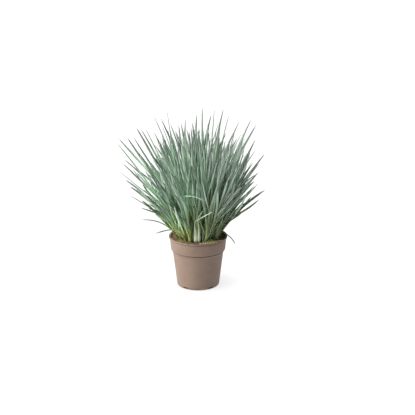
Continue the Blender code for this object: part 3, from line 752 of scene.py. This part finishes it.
def growLeaf(bm, layers, leaf, strip):
    # a thin closed blade along the leaf's path: folded at the keel, thickest there, and sharp at its margins
    stations, half = leafForm["stations"], leafForm["columns"]
    reach, root, foot = leaf["reach"], leaf["root"], leaf["foot"]
    length = (pointAt(leaf, reach) - root).length
    stalk = (root - foot).length
    frames = []
    for station in stations:
        share = station * reach
        if station < 0:
            place, ahead = root.lerp(foot, station / stations[0]), (root - foot).normalized()
        else:
            place = pointAt(leaf, share)
            ahead = (pointAt(leaf, share + 0.01) - pointAt(leaf, share - 0.01)).normalized()
        width = leafHalf(leaf, station) * leaf["slim"]
        across, keel, fold = [betweenRings(leaf[part], station) for part in ("across", "keels", "folds")]
        across = (across - ahead * across.dot(ahead)).normalized()
        keel = (keel - ahead * keel.dot(ahead) - across * keel.dot(across)).normalized()
        risen = shareOf(station, stations[0], leafForm["footFoldTo"])
        fold = min(fold * leafForm["fold"] * lerp(leafForm["footFold"], 1, risen), leafForm["deepestFold"])
        wall = leafForm["thickness"] / 2 * min(1, width / leafForm["thinBelow"])
        frames.append((place, across * width, keel * width * fold, keel * wall))

    def shape(column, row):
        place, across, keel, wall = frames[row]
        side = column / half * 2 - 1 if column <= half else 3 - column / half * 2
        out = -1 if column <= half else 1
        bulge = wall * out * (1 - side * side)
        spot = place + across * side + keel * (1 - abs(side) ** leafForm["foldPower"]) + bulge
        along = max(0.0, stations[row]) * length
        values = {"fromFoot": stalk * shareOf(stations[row], stations[0], 0) + along, "toTip": length - along,
                  "tone": leaf["tone"], "age": leaf["age"], "pallor": leaf["pallor"]}
        return spot, (side + 1) / 2, values

    weldedTube(bm, layers, half * 2, len(stations) - 1, shape, strip)


sheathForm = {
    "columns": 14, "rows": 9, "ridges": 3, "ridge": 0.05,
    "footWidth": 0.88, "footShare": 0.12, "narrowing": 0.68, "narrowPower": 1.2,
    "leastHalf": 0.0020, "ofSpread": 0.32, "ofBlade": 0.85, "reach": 0.6, "stoutReach": 1.1,
    "drooping": 0.55,  # how stout the sheath of a tiller is whose blades all droop
}


def growSheath(bm, layers, foot, top, wide, deep, looks, strip):
    # a rounded stalk from just under the peat to well between the leaf bases
    form, phase = sheathForm, rng.uniform(0, math.tau)
    height = (top - foot).length

    def shape(column, row):
        share, turn = row / form["rows"], math.tau * column / form["columns"]
        ridge = 1 + form["ridge"] * math.cos(form["ridges"] * turn + phase)
        narrow = lerp(form["footWidth"], 1, shareOf(share, 0, form["footShare"]))
        narrow *= 1 - form["narrowing"] * shareOf(share, form["footShare"], 1) ** form["narrowPower"]
        spot = lerp(foot, top, share) + (wide * math.cos(turn) + deep * math.sin(turn)) * narrow * ridge
        return spot, column / form["columns"], {"fromFoot": share * height, "toTip": 0.2, **looks}

    weldedTube(bm, layers, form["columns"], form["rows"], shape, strip)


# the clump's dense part: how far it reaches upright and low down, at which leans, and how freely
clumpForm = {"reach": (0.232, 0.092), "leans": (12, 80), "stray": (0.68, 1.14), "shortest": 0.4, "step": 0.04}


def inClump(point, stray):
    # whether a point lies in the clump's dense part, which reaches far upright and little to the sides
    out = point - Vector((0, 0, potForm["height"]))
    share = shareOf(math.degrees(out.angle(up)), *clumpForm["leans"])
    return out.length < stray * lerp(*clumpForm["reach"], share * share * (3 - 2 * share))


def rolled(leaf, angle, turn=Quaternion()):
    # a leaf whose blade is turned, then rolled about the leaf's own length
    cubic = leaf["curve"]
    roll = Quaternion(cubic[0] + cubic[1] + cubic[2], math.radians(angle)) @ turn
    return {**leaf, "across": [roll @ direction for direction in leaf["across"]],
            "keels": [roll @ direction for direction in leaf["keels"]]}


def shownFlat(leaf, number):
    # a blade that would show only its edge from the front is rolled, to either side in turn
    if abs(leaf["across"][1].y) <= leafForm["edgeOn"]:
        return leaf
    return rolled(leaf, leafForm["edgeRoll"] * (-1) ** number)


def turned(leaf, turn, shift, reach, slim):
    # a copy of a leaf, turned about its root, shifted, kept inside the clump, slimmed and rolled
    curve = leaf["curve"].copy()
    curve[:3] = curve[:3] @ np.array(turn.to_matrix()).T
    curve[3] += shift
    cubic, stray = [Vector(row) for row in curve], rng.uniform(*clumpForm["stray"])
    while reach > clumpForm["shortest"] and not inClump(
            ((cubic[0] * reach + cubic[1]) * reach + cubic[2]) * reach + cubic[3], stray):
        reach -= clumpForm["step"]
    made = {**leaf, "curve": curve, "root": leaf["root"] + shift, "reach": reach, "slim": slim,
            "ages": "youngAge"}
    return rolled(made, rng.gauss(0, leafForm["roll"]), turn)


def aside(apart):
    # a level step of such a length in any direction
    return Quaternion(up, rng.uniform(0, math.tau)) @ Vector((rng.uniform(*apart), 0, 0))


youngForm = {"chance": 0.9, "between": (0.25, 0.75), "tilt": 3, "length": (0.70, 1.0), "width": (0.52, 0.82)}


def youngLeaf(first, second):
    # a younger leaf between two of the tiller's own
    share = rng.uniform(*youngForm["between"])
    mixed = {**(first if share < 0.5 else second), "root": lerp(first["root"], second["root"], share)}
    mixed["curve"] = first["curve"] * (1 - share) + second["curve"] * share
    nod, lean = [math.radians(rng.gauss(0, youngForm["tilt"])) for _ in range(2)]
    tilt = Quaternion((1, 0, 0), nod) @ Quaternion((0, 1, 0), lean)
    return turned(mixed, tilt, Vector(), rng.uniform(*youngForm["length"]), rng.uniform(*youngForm["width"]))


strayForm = {
    "count": 8, "apart": (0.003, 0.0065), "turn": 14, "tilt": 4,
    "length": (0.60, 1.0), "width": (0.56, 0.86), "crownRadius": 0.041,
}


def strayLeaf(leaf):
    # a leaf beside the tiller that crosses its neighbours
    turn = Quaternion(up, math.radians(rng.gauss(0, strayForm["turn"])))
    level = (rng.gauss(0, 1), rng.gauss(0, 1), 0)
    tilt = Quaternion(level, math.radians(rng.gauss(0, strayForm["tilt"])))
    shift = aside(strayForm["apart"])
    if (leaf["root"] + shift).xy.length > strayForm["crownRadius"]:
        shift = -leaf["root"].xy.normalized().to_3d() * shift.length
    return turned(leaf, turn @ tilt.normalized(), shift,
                  rng.uniform(*strayForm["length"]), rng.uniform(*strayForm["width"]))


def withYounger(leaves, isFront):
    # a tiller's own leaves, then the younger ones between them and its strays
    upright = [leaf for leaf in leaves if not leaf["drooping"]]
    added = [youngLeaf(*pair) for pair in zip(upright, upright[1:]) if rng.random() < youngForm["chance"]]
    if upright and not isFront:
        added += [strayLeaf(rng.choice(upright)) for _ in range(strayForm["count"])]
    return leaves + added


def bendFreely(leaf):
    # gives a leaf a bend of its own, and arches one that droops over the lip
    sway = leafForm["sway"] * (leafForm["droopSway"] if leaf["drooping"] else 1)
    leaf["sway"] = Vector([rng.gauss(0, sway) for _ in range(3)])
    leaf["snake"] = Vector([rng.gauss(0, leafForm["snake"]) for _ in range(3)])
    if leaf["drooping"] and pointAt(leaf, 1).z > potForm["height"]:
        leaf["sway"].z += leafForm["droopArch"]


# the front tiller: its fat pale pair of sheaths, the two snapped leaves beside them and the leaf that
# crosses the middle, each through points given as (pixel x, pixel y, depth), with half its width and its
# pallor (up to 1 pales the foot alone, more pales the whole leaf)
frontForm = {
    "tiller": "tiller_01", "sheathDepth": 0.8,
    "sheaths": (
        {"half": 0.0039, "foot": (195.8, 243.8, -0.0415), "top": (194.6, 216.0, -0.0520)},
        {"half": 0.0033, "foot": (199.0, 243.6, -0.0415), "top": (198.5, 218.0, -0.0510)},
    ),
    "bent": (
        {"half": 0.0008, "pallor": 1.3, "path": (
            (195.5, 241.5, -0.0430), (194.3, 222.2, -0.0620), (202.5, 217.2, -0.0900),
            (212.6, 211.8, -0.1180))},
        {"half": 0.0009, "pallor": 1.0, "path": (
            (199.0, 241.5, -0.0430), (197.6, 219.0, -0.0680), (199.9, 215.4, -0.0820),
            (202.8, 211.0, -0.0950))},
        {"half": 0.0008, "pallor": 0.0, "path": (
            (190.0, 242.0, -0.0200), (186.5, 205.0, -0.0450), (184.2, 196.0, -0.0950),
            (190.5, 196.2, -0.1250), (197.5, 197.4, -0.1350), (205.3, 201.5, -0.1400))},
    ),
}


def bentLeaf(spots, half, pallor):
    # a leaf along a few points, with its flat side towards the camera
    reached = [0]
    for one, other in zip(spots, spots[1:]):
        reached.append(reached[-1] + (other - one).length)
    leaf = {
        "spots": spots, "reached": [value / reached[-1] for value in reached],
        "root": spots[0], "foot": spots[0] - Vector((0, 0, 0.004)),
        "halves": [half, half * 0.95, half * 0.75], "folds": [0.3] * 3,
        "slim": 1, "reach": 1, "pallor": pallor, "drooping": True, "ages": "youngAge",
    }
    toEye = (Vector(viewing["place"]) - spots[0]).normalized()
    leaf["keels"] = [-toEye] * 3
    leaf["across"] = [(pointAt(leaf, share + 0.05) - pointAt(leaf, share)).cross(toEye).normalized()
                      for share in leafForm["ringPlaces"]]
    return leaf


shootForm = {
    "inFront": 4, "behind": 1, "apart": (0.002, 0.007), "height": (0.028, 0.070),
    "half": (0.0010, 0.0017), "lean": 3.5, "straighter": 0.6, "pallor": (0.1, 0.15),
}


def youngShoot(foot):
    # a short upright shoot beside the tiller's own sheath
    start = foot + aside(shootForm["apart"])
    out = start.xy.to_3d() * shootForm["lean"]
    height = rng.uniform(*shootForm["height"])
    middle = start + (up + out * shootForm["straighter"]) * height * 0.5
    return bentLeaf([start, middle, start + (up + out) * height],
                    rng.uniform(*shootForm["half"]), clamped(rng.gauss(*shootForm["pallor"])))


def leafLayers(bm):
    # all layers are made before any is kept, because each new one moves the others
    names = ("fromFoot", "toTip", "tone", "age", "pallor")
    for name in names:
        bm.verts.layers.float.new(name)
    for name in ("leafPattern", "OFBake"):
        bm.loops.layers.uv.new(name)
    layers = {name: bm.verts.layers.float[name] for name in names}
    return {**layers, "pattern": bm.loops.layers.uv["leafPattern"], "bake": bm.loops.layers.uv["OFBake"]}


def growOwnSheath(bm, layers, leaves, foot, axisTop, spread, fan, looks, strip):
    # the sheath that a tiller's leaves grow from, as wide as their roots spread
    form = sheathForm
    stout = 1 if any(not leaf["drooping"] for leaf in leaves) else form["drooping"]
    deep = (axisTop - foot).cross(fan).normalized() * leaves[0]["halves"][0] * form["ofBlade"]
    wide = fan * max(form["leastHalf"], spread.length * form["ofSpread"])
    top = lerp(foot, axisTop, form["reach"] + form["stoutReach"] * stout)
    growSheath(bm, layers, foot, top, wide * stout, deep * stout, looks, strip)


def dressTiller(name, node):
    # all leaves, shoots and sheaths of one tiller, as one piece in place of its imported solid
    leaves, foot = readLeaves(node)
    leaves = [shownFlat(leaf, number) for number, leaf in enumerate(leaves)]
    axisTop = sum((leaf["root"] for leaf in leaves), Vector()) / len(leaves)
    gaps = [one["root"] - other["root"] for one in leaves for other in leaves]
    spread = max(gaps, key=lambda gap: gap.length)
    fan = spread.normalized() if spread.length > 0.001 else Vector((1, 0, 0))
    leaves.sort(key=lambda leaf: leaf["root"].dot(fan))
    isFront = name == frontForm["tiller"]
    pallor = clamped(rng.gauss(0.05, 0.15))
    leaves = withYounger(leaves, isFront)
    for leaf in leaves:
        leaf["foot"] = foot + (leaf["root"] - axisTop) * leafForm["footSpread"]
        leaf["pallor"] = pallor
        bendFreely(leaf)
    if isFront:
        leaves += [bentLeaf([atPixel(*spot) for spot in bent["path"]], bent["half"], bent["pallor"])
                   for bent in frontForm["bent"]]
    else:
        leaves += [youngShoot(foot) for _ in range(shootForm["inFront" if foot.y < 0 else "behind"])]

    # each leaf and sheath has its own strip of the bake map
    bm = bmesh.new()
    layers = leafLayers(bm)
    total = len(leaves) + (len(frontForm["sheaths"]) if isFront else 1)
    strips = [((number + 0.05) / total, (number + 0.95) / total) for number in range(total)]
    for leaf, strip in zip(leaves, strips):
        # painted light: leaves standing further back, in the clump's shade, are given a higher tone and so a
        # paler bloom
        leaf["tone"] = rng.random() + leafForm["paintedLightBehind"] * (foot.y / leafForm["crownDepth"] + 1)
        leaf["age"] = rng.uniform(*leafForm[leaf["ages"]])
        growLeaf(bm, layers, leaf, strip)
    looks = {"tone": rng.random(), "age": 0.0, "pallor": 1 if isFront else pallor}
    if isFront:
        for sheath, strip in zip(frontForm["sheaths"], strips[len(leaves):]):
            low, high = atPixel(*sheath["foot"]), atPixel(*sheath["top"])
            wide = Vector((sheath["half"], 0, 0))
            deep = Vector((0, sheath["half"] * frontForm["sheathDepth"], 0))
            growSheath(bm, layers, low, high, wide, deep, looks, strip)
    else:
        growOwnSheath(bm, layers, leaves, foot, axisTop, spread, fan, looks, strips[-1])
    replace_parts(finishPiece(bm, name + "Leaves", waxyLeaf), name)
    return len(leaves)


tillers = sorted(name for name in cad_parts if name.startswith("tiller"))
leafCount = sum(dressTiller(name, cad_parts[name]) for name in tillers)
print(f"{leafCount} leaves on {len(tillers)} tillers")
